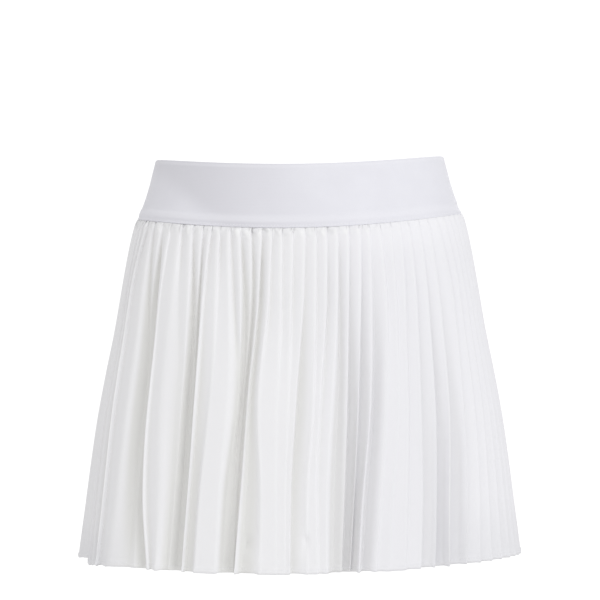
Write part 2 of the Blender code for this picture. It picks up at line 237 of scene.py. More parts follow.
class Socket:
    """One output of a node. Sums on it add Math nodes to its tree."""

    def __init__(self, nodes, output):
        self.nodes, self.output = nodes, output

    def math(self, operation, *values):
        return self.nodes.node("ShaderNodeMath", {"operation": operation}, *values)

    def __add__(self, other):
        return self.math("ADD", self, other)

    def __sub__(self, other):
        return self.math("SUBTRACT", self, other)

    def __rsub__(self, other):
        return self.math("SUBTRACT", other, self)

    def __mul__(self, other):
        return self.math("MULTIPLY", self, other)

    def __truediv__(self, other):
        return self.math("DIVIDE", self, other)

    __radd__, __rmul__ = __add__, __mul__

    def wave(self):
        """A sine of this value, counted in turns, from 0 to 1."""
        return self.math("SINE", self * math.tau) * 0.5 + 0.5

    def between(self, low, high):
        """0 below low and 1 above high, smooth between."""
        settings = {"interpolation_type": "SMOOTHSTEP"}
        return self.nodes.node("ShaderNodeMapRange", settings, self, low, high, 0.0, 1.0)


class Nodes:
    """A node tree under construction."""

    def __init__(self, tree):
        self.tree = tree

    def node(self, kind, settings, *values, output=None, **named):
        """Adds a node: its settings first, then its inputs in order or by name, with underscores for spaces.

        None leaves an input alone. Gives the output of that name, or the first one in use.
        """
        made = self.tree.nodes.new(kind)
        for key, value in settings.items():
            setattr(made, key, value)
        for socket, value in zip(made.inputs, values):
            self.fill(socket, value)
        for key, value in named.items():
            name = key.replace("_", " ")
            self.fill(next(s for s in made.inputs if s.enabled and s.name == name), value)
        found = [s for s in made.outputs if s.enabled and output in (None, s.name)]
        return Socket(self, found[0]) if found else None

    def fill(self, socket, value):
        if isinstance(value, Socket):
            self.tree.links.new(value.output, socket)
        elif value is not None:
            socket.default_value = value


class Paint(Nodes):
    """A material under construction, with its Principled shader."""

    def __init__(self, name):
        self.material = bpy.data.materials.new(name)
        self.material.use_nodes = True
        super().__init__(self.material.node_tree)
        self.shader = self.tree.nodes["Principled BSDF"]

    def set(self, **values):
        """Fills the shader's own inputs, named with underscores for spaces."""
        for key, value in values.items():
            self.fill(self.shader.inputs[key.replace("_", " ")], value)

    def mix(self, share, first, second):
        """A colour between two others."""
        return self.node("ShaderNodeMix", {"data_type": "RGBA"}, Factor=share, A=first, B=second)

    def object_place(self):
        """A point's place in the object's own axes, in metres."""
        return self.node("ShaderNodeTexCoord", {}, output="Object")

    def noise(self, place, scale, detail, roughness, dimensions="3D"):
        """Noise from 0 to 1, with about this many patches to each unit of the place."""
        amounts = {"Scale": scale, "Detail": detail, "Roughness": roughness}
        return self.node("ShaderNodeTexNoise", {"noise_dimensions": dimensions}, place, **amounts)

    def cloth_place(self):
        """The two coordinates of the cloth's own map, in metres across and down."""
        place = self.node("ShaderNodeUVMap", {"uv_map": "cloth"})
        across = self.node("ShaderNodeSeparateXYZ", {}, place)
        down = self.node("ShaderNodeSeparateXYZ", {}, place, output="Y")
        return across, down

    def bump(self, height, distance):
        """Normal of a surface that this height, from 0 to 1, lifts by the distance."""
        return self.node("ShaderNodeBump", {}, Distance=distance, Height=height)


# The knit's two tones, the painted shade where it turns from the light at -X, and the painted highlight where
# its bends catch the light.
KNIT_TONES = ((0.790, 0.786, 0.838, 1), (0.822, 0.820, 0.870, 1))
KNIT_PAINTED_SHADE = (0.700, 0.694, 0.740, 1)
KNIT_PAINTED_HIGHLIGHT = (0.850, 0.846, 0.892, 1)
WALE_WIDTH = 0.0009
COURSE_HEIGHT = 0.0012
KNIT_RELIEF = 0.00005


def knit_material():
    """Smooth white elastic knit: fine upright wales, faint courses, and a soft unevenness in tone."""
    paint = Paint("waistband_knit")
    across, down = paint.cloth_place()
    wales = (across / WALE_WIDTH).wave()
    courses = (down / COURSE_HEIGHT + wales * 0.25).wave()
    place = paint.object_place()
    cloudy = paint.noise(place, scale=22.0, detail=3.0, roughness=0.55)
    grain = paint.noise(place, scale=900.0, detail=2.0, roughness=0.5)
    tone = cloudy.between(0.35, 0.65) * 0.7 + grain * 0.3
    even = paint.mix(tone, *KNIT_TONES)
    # Painted shade: greyer from the middle towards -X, a little less at the side seam, and hardly at the
    # lower edge there.
    aside = paint.node("ShaderNodeSeparateXYZ", {}, place)
    painted_band_shade = (1 - aside.between(-0.095, 0.03)) * (1 - (1 - aside.between(-0.135, -0.095)) * 0.35)
    painted_band_shade = painted_band_shade * (1 - (down - aside * 0.7).between(0.088, 0.112) * 0.85)
    shaded = paint.mix(painted_band_shade, even, KNIT_PAINTED_SHADE)
    # Painted highlight: lighter where it bends over the elastic's lower edge and over the top edge, where
    # these face the light.
    bent = down.between(0.0405, 0.0455) * (1 - down.between(0.0468, 0.0500)) * 0.5
    bent = bent + down.between(0.0005, 0.0018) * (1 - down.between(0.0026, 0.0045)) * 0.35
    paint.set(
        Base_Color=paint.mix(bent, shaded, KNIT_PAINTED_HIGHLIGHT),
        Roughness=0.52 + courses * 0.10,
        Normal=paint.bump(wales * 0.55 + courses * 0.35 + grain * 0.25, KNIT_RELIEF),
        Sheen_Weight=0.12,
        Sheen_Roughness=0.45,
        Specular_IOR_Level=0.35,
    )
    return paint.material


band_knit = knit_material()
band_front = band_half("waistband_front_cloth", True)
band_back = band_half("waistband_back_cloth", False)
for piece, node in ((band_front, "waistband_front"), (band_back, "waistband_back")):
    piece.data.materials.append(band_knit)
    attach(piece, "root")
    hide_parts(node)


# --------------------------------------------------------------------------------------------------
# Pleated skirt: two straight lengths of white woven cloth, pressed into knife pleats that all lie one
# way and sewn flat to the band. Down the skirt the pleats spring open, and gather into a few deep
# hanging folds.

SKIRT_DROP = 0.3045
CLOTH_THICKNESS = 0.0004
PLEATS_PER_HALF = 43
PLEAT_CLOTH = 0.0165  # width of cloth in each pleat
TUCK = 0.03  # share of a pleat by which a pressed pleat's valley lies under its crease

HEM_TURNING = 0.0046  # height of the narrow turned hem
HEM_PROUD = 0.0005  # how far the turned hem stands out
HEM_CURL = 0.0010  # how far its very edge curls back in
HEM_STITCH_RISE = 0.0036  # from the hem's edge up to its stitching
HEM_SAG = 0.0011  # how much lower a crease hangs at the hem than its valley
SAG_DEPTH = 0.003  # how far in the cloth no longer hangs lower

# Rows of points down the skirt: close together at the seam and the hem.
SEAM_DROPS = (0.0, 0.0010, 0.0024, 0.0042, 0.0064, 0.0092, 0.0126)
EVEN_DROPS = np.linspace(0.0165, SKIRT_DROP - 0.0075, 64)
HEM_DROPS = SKIRT_DROP - np.array((HEM_TURNING, HEM_STITCH_RISE, 0.0022, 0.0010, 0.0))
SKIRT_DROPS = np.concatenate((SEAM_DROPS, EVEN_DROPS, HEM_DROPS))

# Shares of the drop at which the pleats have sprung open and hang loose, and between which the shelves
# form, the hem sags and its lift sets in.
SPRUNG_AT = 0.25
LOOSE_AT = 0.40
SHELF_FORMS = (0.25, 0.70)
HEM_SAGS = (0.93, 1.00)
LIFT_POWER = 4  # the hem's lift grows with this power of the way down

# Creases wander to either side of their places in long waves, less where they are pressed.
WANDER = 0.05  # share of an even pleat
WANDER_WAVES = 1.3  # down the whole skirt
PRESSED_WANDER = 0.4  # share of it that is left where the pleats are pressed

# How far the rounding of each corner reaches along the cloth. A valley has one reach on its left and
# one on its right, and a bend has one where the pleats are pressed and one where they hang loose.
CORNER_STEPS = np.linspace(0.0, 1.0, 5)
SIDE_SHARE = 0.48  # the most of a side that a rounding takes, just under half, so that two never meet
PRESSED_CREASE_REACH = 0.0006
CREASE_ROLL = 0.0022  # how much further a pressed crease's rounding reaches into its own pleat
PRESSED_VALLEY_REACH = (0.0010, 0.0022)
LOOSE_VALLEY_REACH = (0.0012, 0.0045)
SHELF_SHARPENS = 0.6  # share that a shelf takes off a loose valley's reach
BEND_REACH = (0.0030, 0.0020)

# Each pleat bends once between a valley and the next crease, at a share of the way across, where it has
# risen by a share of the valley's depth. The first of each pair is for pressed pleats, the second for
# those that have sprung.
BEND_AT = (0.66, 0.72)
BEND_RISE = (1.05, 0.88)

# How strongly the pleats are gathered under the seam, at shares of the way round each half.
Gather = namedtuple("Gather", "share strength")
GATHERS = (
    Gather(0.000, 0.10),
    Gather(0.060, 0.50),
    Gather(0.120, 0.80),
    Gather(0.190, 0.80),
    Gather(0.210, 0.40),
    Gather(0.235, 0.85),
    Gather(0.280, 0.90),
    Gather(0.420, 1.05),
    Gather(0.460, 0.70),
    Gather(0.600, 0.75),
    Gather(0.660, 0.40),
    Gather(1.000, 0.30),
)

# How many millimetres inward creases and valleys lie where they are fully gathered: at the seam, at the
# pleats' heads just under it, and below, which are the first three of DEPTH_LEVELS. A share from 0 to 1 is
# drawn for each crease's head, and one between VALLEY_SHARES for the first two of each valley.
NearSeam = namedtuple("NearSeam", "seam head below")
CREASE_IN = NearSeam(0.6, -0.5, 0.0)
VALLEY_IN = NearSeam(2.5, 3.0, 4.2)
VALLEY_SHARES = (0.3, 1.2)

# The pleats' heads are plump: the least and the most that they swell, in millimetres, and where.
HEAD_PLUMP = (0.2, 1.8)
HEAD_DROP = 0.0050
HEAD_SPREAD = 0.0040

# Small dents near the front's hem, where a fold presses on the next, and a bulge below each of them.
SKIRT_DENTS = (
    Dent(-0.0458, -0.3142, 0.0028, 0.0042, 0.0038),
    Dent(-0.0420, -0.3290, 0.0060, 0.0100, -0.0014),
    Dent(0.0056, -0.3125, 0.0022, 0.0042, 0.0030),
    Dent(-0.0020, -0.3250, 0.0060, 0.0120, -0.0024),
)

SKIRT_RINGS = (
    Ring(0.0000, 0.1468, 0.1048, 0.1080, 0.0111, 0.0058, 0.0192),
    Ring(0.0050, 0.1488, 0.1066, 0.1100, 0.0110, 0.0058, 0.0192),
    Ring(0.0150, 0.1516, 0.1090, 0.1132, 0.0108, 0.0058, 0.0188),
    Ring(0.0350, 0.1558, 0.1118, 0.1174, 0.0107, 0.0058, 0.0182),
    Ring(0.0620, 0.1607, 0.1156, 0.1228, 0.0106, 0.0059, 0.0176),
    Ring(0.1000, 0.1672, 0.1203, 0.1290, 0.0104, 0.0059, 0.0166),
    Ring(0.1400, 0.1753, 0.1247, 0.1340, 0.0102, 0.0060, 0.0158),
    Ring(0.1800, 0.1827, 0.1287, 0.1378, 0.0100, 0.0060, 0.0150),
    Ring(0.2200, 0.1886, 0.1322, 0.1408, 0.0098, 0.0061, 0.0144),
    Ring(0.2600, 0.1938, 0.1355, 0.1434, 0.0096, 0.0061, 0.0139),
    Ring(SKIRT_DROP, 0.1998, 0.1387, 0.1460, 0.0095, 0.0062, 0.0135),
)

# The front's creases, counted from the -X side seam. seam to hem are the places where a crease hangs at
# the shares of the drop in PLACE_LEVELS, in even pleats. Depths are in millimetres inward at the last three
# of DEPTH_LEVELS: out_ of the crease itself, and in_ of the valley on its right. valley_at is the valley's
# share of the way to the next crease, and soft is how many millimetres the loose crease's rounding reaches.
# With a shelf of 1 the lower cloth lies level from the valley to shortly before the next crease, and with 0
# it slopes evenly.
PLACE_LEVELS = (0.0, 0.2, 0.5, 0.79, 1.0)
DEPTH_LEVELS = (0.0, 0.012, 0.04, 0.2, 0.5, 1.0)
Crease = namedtuple("Crease", "index seam upper middle lower hem "
                    "out_upper out_middle out_hem in_upper in_middle in_hem valley_at soft shelf")
FRONT_CREASES = (
    Crease(0, 0.00, 0.00, 0.00, 0.00, 0.00, 0.0, 0.0, 0.0, 3.6, 2.0, 2.8, 0.15, 1.0, 0.0),
    Crease(3, 2.80, 2.55, 2.60, 2.85, 3.15, 0.0, 0.0, 1.4, 3.6, 2.8, 4.6, 0.80, 1.0, 0.0),
    Crease(4, 3.70, 3.40, 3.50, 3.85, 4.45, 0.0, 0.0, 0.0, 4.0, 3.0, 3.4, 0.15, 1.0, 0.0),
    Crease(5, 4.60, 4.10, 4.35, 4.75, 5.10, 0.4, 0.8, 1.0, 7.0, 8.0, 8.5, 0.55, 1.0, 0.0),
    Crease(6, 5.45, 4.92, 5.30, 5.74, 5.80, -1.0, -1.5, -1.5, 2.4, 2.6, 3.6, 0.02, 0.5, 0.0),
    Crease(7, 6.50, 6.76, 7.16, 7.34, 7.18, 0.0, 0.0, -0.5, 5.8, 10.5, 3.0, 0.75, 3.2, 0.0),
    Crease(8, 7.80, 7.72, 8.50, 9.00, 9.45, 3.0, 9.5, 2.4, 8.2, 11.5, 8.2, 0.60, 1.0, 0.0),
    Crease(9, 8.95, 8.90, 9.28, 9.74, 10.62, 0.0, 0.0, 0.0, 0.9, 2.6, 4.4, 0.10, 0.6, 0.0),
    Crease(10, 10.12, 10.25, 10.60, 11.15, 11.30, -0.2, -0.2, 0.0, 2.2, 3.0, 5.5, 0.68, 3.4, 0.0),
    Crease(11, 11.32, 11.84, 12.10, 12.25, 12.18, 0.4, 3.0, 5.0, 6.8, 11.0, 12.0, 0.40, 2.5, 0.0),
    Crease(12, 12.35, 12.55, 12.90, 13.02, 13.00, 3.0, 9.0, 9.8, 6.0, 10.6, 11.2, 0.45, 1.0, 0.0),
    Crease(13, 13.22, 13.20, 13.27, 13.32, 13.32, 0.0, 0.0, 0.0, 3.2, 4.6, 6.6, 0.14, 0.6, 0.6),
    Crease(14, 14.12, 14.36, 14.50, 14.26, 14.12, 0.0, 0.0, 0.0, 2.2, 0.4, 0.6, 0.15, 2.0, 0.0),
    Crease(15, 15.06, 15.50, 15.98, 15.74, 15.64, 0.0, 0.0, 0.2, 4.4, 3.0, 5.0, 0.60, 4.0, 0.0),
    Crease(16, 16.04, 16.50, 16.70, 16.20, 16.10, 0.0, 6.2, 8.6, 7.0, 10.4, 11.4, 0.45, 3.0, 0.0),
    Crease(17, 17.04, 17.30, 17.10, 16.84, 16.76, 2.6, 9.2, 9.8, 6.8, 10.4, 10.8, 0.50, 1.0, 0.0),
    Crease(18, 18.04, 18.00, 17.48, 17.20, 17.04, 1.4, 2.6, 0.0, 6.8, 6.6, 6.4, 0.25, 0.6, 0.4),
    Crease(19, 18.98, 18.88, 18.34, 18.66, 18.70, 0.0, 0.0, 0.0, 3.8, 0.8, 0.6, 0.15, 2.0, 0.0),
    Crease(20, 19.92, 19.92, 19.80, 19.76, 19.80, 0.0, 0.0, 0.0, 3.4, 0.6, 0.4, 0.15, 2.0, 0.0),
    Crease(21, 20.93, 20.80, 20.68, 20.42, 20.44, 0.0, 0.0, 0.0, 3.8, 0.8, 0.4, 0.15, 2.0, 0.0),
    Crease(22, 22.02, 21.84, 21.24, 20.78, 20.80, 0.0, 0.0, 0.0, 4.2, 6.0, 4.2, 0.08, 0.8, 0.3),
    Crease(23, 23.02, 22.92, 22.54, 21.98, 22.05, 0.0, 0.0, 0.0, 3.8, 2.0, 0.8, 0.15, 1.2, 0.0),
    Crease(24, 24.02, 23.76, 23.12, 22.66, 22.70, 0.0, 0.5, 0.2, 4.8, 3.6, 2.2, 0.15, 1.2, 0.0),
    Crease(25, 25.08, 24.69, 24.05, 23.52, 23.34, 0.0, 0.4, 0.4, 6.0, 7.6, 8.6, 0.40, 1.2, 0.0),
    Crease(26, 26.10, 25.70, 25.12, 24.76, 24.42, 0.3, 1.8, 4.6, 5.2, 9.6, 14.0, 0.15, 0.7, 0.5),
    Crease(27, 27.14, 26.72, 26.10, 25.38, 24.98, 0.3, 1.4, 6.6, 5.2, 9.4, 11.0, 0.15, 0.7, 0.4),
    Crease(28, 28.02, 27.72, 26.96, 26.04, 25.60, 0.3, 0.6, -1.4, 4.4, 9.0, 10.0, 0.28, 1.4, 0.1),
    Crease(29, 29.04, 28.98, 28.22, 27.28, 26.70, 0.0, 0.0, 0.0, 2.4, 0.6, 2.2, 0.20, 2.0, 0.0),
    Crease(30, 30.10, 29.90, 29.14, 28.26, 27.80, 0.0, 0.0, 0.0, 2.0, 0.5, 0.8, 0.15, 2.0, 0.0),
    Crease(31, 31.05, 30.72, 30.05, 29.27, 28.85, 0.0, 0.0, 0.0, 3.4, 2.8, 2.0, 0.15, 1.2, 0.5),
    Crease(32, 31.95, 31.72, 31.10, 30.48, 29.94, 0.0, 0.0, 0.6, 3.8, 4.8, 6.4, 0.15, 0.8, 0.6),
    Crease(33, 33.06, 32.84, 32.34, 31.56, 31.00, 0.0, 0.0, 0.2, 4.0, 7.6, 12.0, 0.12, 0.8, 0.5),
    Crease(34, 34.20, 34.12, 33.46, 32.66, 32.14, 0.0, -1.2, -2.0, 3.2, 6.6, 12.0, 0.12, 1.3, 0.55),
    Crease(35, 35.30, 35.70, 34.95, 34.32, 33.58, 0.0, 0.0, 0.0, 3.2, 2.8, 3.0, 0.15, 0.8, 0.5),
    Crease(36, 36.30, 36.68, 36.18, 35.48, 34.88, 0.0, 0.0, 0.0, 3.0, 2.0, 2.8, 0.15, 0.8, 0.5),
    Crease(43, 43.00, 43.00, 43.00, 43.00, 43.00, 0.0, 0.0, 0.0, 3.0, 2.0, 2.8, 0.15, 0.8, 0.5),
)

# The back hangs in folds of the same sizes in another order, and swings its own way. Each row is a
# crease and its places as above.
BACK_ROLL = 17
Swing = namedtuple("Swing", "index seam upper middle lower hem")
BACK_SWINGS = (
    Swing(0, 0.0, 0.0, 0.0, 0.0, 0.0),
    Swing(7, 7.0, 6.9, 6.6, 6.4, 6.2),
    Swing(12, 12.1, 12.1, 12.3, 12.7, 13.0),
    Swing(19, 18.9, 19.0, 19.3, 19.6, 19.7),
    Swing(26, 26.1, 26.0, 25.6, 25.1, 24.8),
    Swing(33, 33.0, 33.2, 33.5, 34.0, 34.2),
    Swing(38, 38.1, 38.2, 38.1, 37.9, 37.8),
    Swing(43, 43.0, 43.0, 43.0, 43.0, 43.0),
)

# Millimetres by which the hem is lifted: beside the -X side seam it hangs shorter, then longer.
Lift = namedtuple("Lift", "index front back")
HEM_LIFTS = (
    Lift(0, 1.2, 0.0),
    Lift(3, 3.2, 0.0),
    Lift(4, -2.4, 0.0),
    Lift(5, -1.6, 0.0),
    Lift(7, 0.0, 0.0),
    Lift(33, 0.0, 0.0),
    Lift(43, 0.0, 1.2),
)

MILLIMETRE = 0.001
FRONT_SEED = 11  # of the random differences between the pleats
BACK_SEED = 29


def by_crease(rows, name):
    """A column of a table for every crease, even between rows."""
    return np.interp(np.arange(PLEATS_PER_HALF + 1), column_of(rows, "index"), column_of(rows, name))


def down_the_skirt(levels, columns):
    """Values for every crease at every drop, from their values at a few levels."""
    table = np.stack(columns, axis=1)
    return np.array([smooth_curve(levels, row, SKIRT_DROPS / SKIRT_DROP) for row in table]).T


def ramp(value, start, end):
    """0 up to the start and 1 from the end on, even between."""
    return min(1.0, max(0.0, (value - start) / (end - start)))


def mixed(pair, share):
    """The first of a pair at a share of 0, the second at 1."""
    return pair[0] + (pair[1] - pair[0]) * share


# place, out and into have a row for each drop, and the others one value for each crease.
Pleats = namedtuple("Pleats", "place out into plump valley_at soft shelf phase lift")


def pleats_of(is_front, seed):
    """Where every crease of one half hangs, how deep it and its valley lie, and what else tells it apart."""
    random = np.random.default_rng(seed)
    creases = PLEATS_PER_HALF + 1
    places = FRONT_CREASES if is_front else BACK_SWINGS
    shares = column_of(GATHERS, "share")
    gathered = np.interp(np.linspace(0, 1, creases), shares, column_of(GATHERS, "strength"))
    puffed = random.uniform(0.0, 1.0, creases)
    pitted = random.uniform(*VALLEY_SHARES, creases)

    def fold(name):
        return np.roll(by_crease(FRONT_CREASES, name), 0 if is_front else BACK_ROLL)

    def depth(kind, *near_seam):
        columns = [np.broadcast_to(values, creases) for values in near_seam]
        columns += [fold(kind + level) for level in ("upper", "middle", "hem")]
        return MILLIMETRE * down_the_skirt(DEPTH_LEVELS, columns)

    out = depth("out_", CREASE_IN.seam * gathered, CREASE_IN.head * puffed * gathered, CREASE_IN.below)
    out[:, 0] = out[:, -1] = 0.0
    into = depth("in_", VALLEY_IN.seam * gathered * pitted, VALLEY_IN.head * gathered * pitted,
                 VALLEY_IN.below * gathered)
    return Pleats(
        place=down_the_skirt(PLACE_LEVELS, [by_crease(places, level) for level in Swing._fields[1:]]),
        out=out,
        into=into,
        plump=MILLIMETRE * mixed(HEAD_PLUMP, puffed[::-1]) * gathered,
        valley_at=fold("valley_at"),
        soft=MILLIMETRE * fold("soft"),
        shelf=fold("shelf"),
        phase=random.random(creases),
        lift=MILLIMETRE * by_crease(HEM_LIFTS, "front" if is_front else "back"),
    )


def pleat_line(pleats, row, length):
    """One row of pleats on a ring of this length: how far along, inward and lifted each point is."""
    drop = SKIRT_DROPS[row]
    down = drop / SKIRT_DROP
    loose = ramp(down, 0.0, LOOSE_AT)
    sprung = ramp(down, 0.0, SPRUNG_AT)
    wander = WANDER * np.sin(math.tau * (WANDER_WAVES * down + pleats.phase))
    wander *= mixed((PRESSED_WANDER, 1.0), loose)
    wander[0] = wander[-1] = 0.0
    crease = (pleats.place[row] + wander) / PLEATS_PER_HALF * length
    valley = crease[:-1] + np.diff(crease) * (loose * pleats.valley_at[:-1] - (1 - loose) * TUCK)
    bend = valley + mixed(BEND_AT, sprung) * (crease[1:] - valley)
    out, into = pleats.out[row], pleats.into[row][:-1]
    shelf, lift = pleats.shelf[:-1], pleats.lift[:-1]
    level = mixed(BEND_RISE, sprung) * (1 - shelf * ramp(down, *SHELF_FORMS))
    plump = pleats.plump[:-1] * math.exp(-((drop - HEAD_DROP) / HEAD_SPREAD) ** 2)
    corners = np.empty((3 * PLEATS_PER_HALF + 1, 3))
    corners[0::3] = np.column_stack((crease, out, pleats.lift))
    corners[1::3] = np.column_stack((valley, into, lift))
    corners[2::3] = np.column_stack((bend, into + level * (out[1:] - into) - plump, lift))
    reach = np.empty((len(corners), 2))
    reach[0::3] = (PRESSED_CREASE_REACH * (1 - loose) + pleats.soft * loose)[:, None]
    reach[0::3, 0] += CREASE_ROLL * (1 - loose)
    reach[1::3] = np.multiply(PRESSED_VALLEY_REACH, 1 - loose)
    reach[1::3] += np.outer(1 - SHELF_SHARPENS * shelf, LOOSE_VALLEY_REACH) * loose
    reach[2::3] = mixed(BEND_REACH, loose)
    return rounded(corners, reach)


def rounded(corners, reach):
    """The line through the corners, each rounded within its reach and never past the middle of a side."""
    sides = np.diff(corners, axis=0)
    lengths = np.linalg.norm(sides[:, :2], axis=1)
    points = [corners[:1]]
    t = CORNER_STEPS[:, None]
    for i in range(1, len(corners) - 1):
        before = min(reach[i, 0] / lengths[i - 1], SIDE_SHARE)
        after = min(reach[i, 1] / lengths[i], SIDE_SHARE)
        start = corners[i] - before * sides[i - 1]
        end = corners[i] + after * sides[i]
        points.append((1 - t) ** 2 * start + 2 * t * (1 - t) * corners[i] + t ** 2 * end)
    points.append(corners[-1:])
    return np.concatenate(points)


def skirt_half(name, is_front, seed):
    """One half of the skirt, row by row: its line of pleats laid round a smooth ring, as a thin cloth."""
    pleats = pleats_of(is_front, seed)
    rows, inward = [], []
    for row, drop in enumerate(SKIRT_DROPS):
        half_width, half_depth, dip, lean = ring_size(SKIRT_RINGS, drop, is_front)
        length = 2 * quarter_arc(half_width, half_depth)[2][-1]
        along, depth, lift = pleat_line(pleats, row, length).T
        point, outward = half_ring(half_width, half_depth, np.clip(along / length, 0, 1), is_front)
        proud = HEM_PROUD if drop > SKIRT_DROP - HEM_TURNING else 0.0
        proud -= HEM_CURL if drop == SKIRT_DROP else 0.0
        point = point - outward * (depth + CLOTH_THICKNESS / 2 - proud)[:, None]
        down = drop / SKIRT_DROP
        sag = HEM_SAG * ramp(down, *HEM_SAGS) * np.clip(1 - depth / SAG_DEPTH, 0, 1)
        level = -BAND_HEIGHT / 2 - drop - sag + lift * down ** LIFT_POWER
        z = level - hang(point[:, 0], half_width, dip, lean)
        if is_front:
            point = point - outward * dented(SKIRT_DENTS, point[:, 0], z)[:, None]
        rows.append(np.column_stack((point, z)))
        inward.append(depth)
    grid = np.array(rows)
    across = np.linspace(0, PLEATS_PER_HALF * PLEAT_CLOTH, grid.shape[1])
    uv = np.stack(np.broadcast_arrays(across[None, :], SKIRT_DROPS[:, None]), axis=-1)
    piece = grid_object(name, grid, uv)
    piece.data.attributes.new("inward", "FLOAT", "POINT").data.foreach_set("value", np.ravel(inward))
    wall = piece.modifiers.new("cloth thickness", "SOLIDIFY")
    wall.thickness = CLOTH_THICKNESS
    wall.offset = 0.0
    return piece


# The cloth's two tones where it lies double, the cooler one towards +X painted for the cool key light there,
# a painted highlight on its lit ridges, the tones of a single layer with painted shade deep in a fold, at -X
# and at +X, and the painted shade where the light falls off.
DOUBLED_TONES = ((0.874, 0.871, 0.885, 1), (0.902, 0.899, 0.913, 1))
DOUBLED_PAINTED_COOL_LIGHT = (0.891, 0.885, 0.922, 1)
LIT_RIDGE = (0.950, 0.948, 0.955, 1)
SINGLE_LAYER_SHADE_TONES = ((0.802, 0.799, 0.786, 1), (0.803, 0.798, 0.813, 1))
SKIRT_PAINTED_SHADE = (0.800, 0.798, 0.820, 1)
THREAD_SPACING = 0.00045
PUCKER_SIZE = (0.0066, 0.0100)  # across and down
PUCKER_RELIEF = 0.0015


def pleated_material():
    """Matt white cloth in a fine plain weave, with painted shade deep in a fold where a single layer lies,
    and painted highlight and shade elsewhere.
    """
    paint = Paint("pleated_cloth")
    across, down = paint.cloth_place()
    place = paint.object_place()
    aside = paint.node("ShaderNodeSeparateXYZ", {}, place)
    weave = (across / THREAD_SPACING).wave() * (down / THREAD_SPACING).wave()
    slub = paint.noise(place, scale=700.0, detail=2.0, roughness=0.5)
    tone = paint.noise(place, scale=30.0, detail=3.0, roughness=0.5) * 0.6 + slub * 0.4
    # Soft puckers run down from the seam and die out, and are weaker towards +X.
    gathers = paint.node("ShaderNodeCombineXYZ", {}, across / PUCKER_SIZE[0], down / PUCKER_SIZE[1])
    puckers = paint.noise(gathers, scale=1.0, detail=1.0, roughness=0.4, dimensions="2D").between(0.25, 0.75)
    puckers = puckers * (1 - down.between(0.0010, 0.0100)) * (1 - aside.between(0.03, 0.09) * 0.6)
    # The tone follows how far in the cloth lies: a painted highlight where ridges stand proud, and painted
    # shade deep in a fold, where a single layer lies.
    inward = paint.node("ShaderNodeAttribute", {"attribute_name": "inward"}, output="Fac")
    # Painted light: cooler towards +X, where the bluish key falls, and warmer at -X, where the warm fill
    # falls.
    painted_cool_light = aside.between(-0.02, 0.08)
    doubled = paint.mix(painted_cool_light * 0.6, paint.mix(tone, *DOUBLED_TONES), DOUBLED_PAINTED_COOL_LIGHT)
    lit = paint.mix(1 - inward.between(-0.0012, -0.0001), doubled, LIT_RIDGE)
    shaded = paint.mix(inward.between(0.0010, 0.0050), lit, paint.mix(painted_cool_light, *SINGLE_LAYER_SHADE_TONES))
    # Painted shade: duller below the seam towards +X, at the -X side seam, most of all near its hem, and near
    # the hem at +X.
    below_seam = down.between(0.00, 0.04) * aside.between(0.02, 0.09) * (1 - aside.between(0.13, 0.17) * 0.5)
    side_seam = (1 - aside.between(-0.190, -0.150)) * (0.3 + down.between(0.26, 0.30) * 0.5)
    near_hem = down.between(0.24, 0.30) * aside.between(0.10, 0.15)
    painted_skirt_shade = below_seam * 0.35 + side_seam + near_hem * 0.55
    paint.set(
        Base_Color=paint.mix(painted_skirt_shade, shaded, SKIRT_PAINTED_SHADE),
        Roughness=0.78,
        Normal=paint.bump(weave * 0.012 + slub * 0.005 + puckers, PUCKER_RELIEF),
        Sheen_Weight=0.08,
        Sheen_Roughness=0.5,
        Specular_IOR_Level=0.3,
    )
    return paint.material


skirt_cloth = pleated_material()
skirt_front = skirt_half("skirt_front_cloth", True, FRONT_SEED)
skirt_back = skirt_half("skirt_back_cloth", False, BACK_SEED)
for piece, node in ((skirt_front, "skirt_front"), (skirt_back, "skirt_back")):
    piece.data.materials.append(skirt_cloth)
    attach(piece, "root")
    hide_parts(node)


# --------------------------------------------------------------------------------------------------
# Stitching: white polyester thread. One row holds the band's lower edge to the skirt, and one the narrow
# turned hem, all the way round. The stitches are drawn down until they lie half sunk in the cloth.

STITCH_LENGTH = 0.0020
STITCH_PITCH = 0.0028
HALF_STITCH = (0.40, 0.54)  # share of STITCH_LENGTH that half a stitch takes up, at least and at most
THREAD_WIDTH = 0.00045
TWIST_RELIEF = 0.00004
SEAM_STITCH_DROP = 0.0511  # below the band's top edge
HEM_STITCH_DROP = SKIRT_DROP - HEM_STITCH_RISE


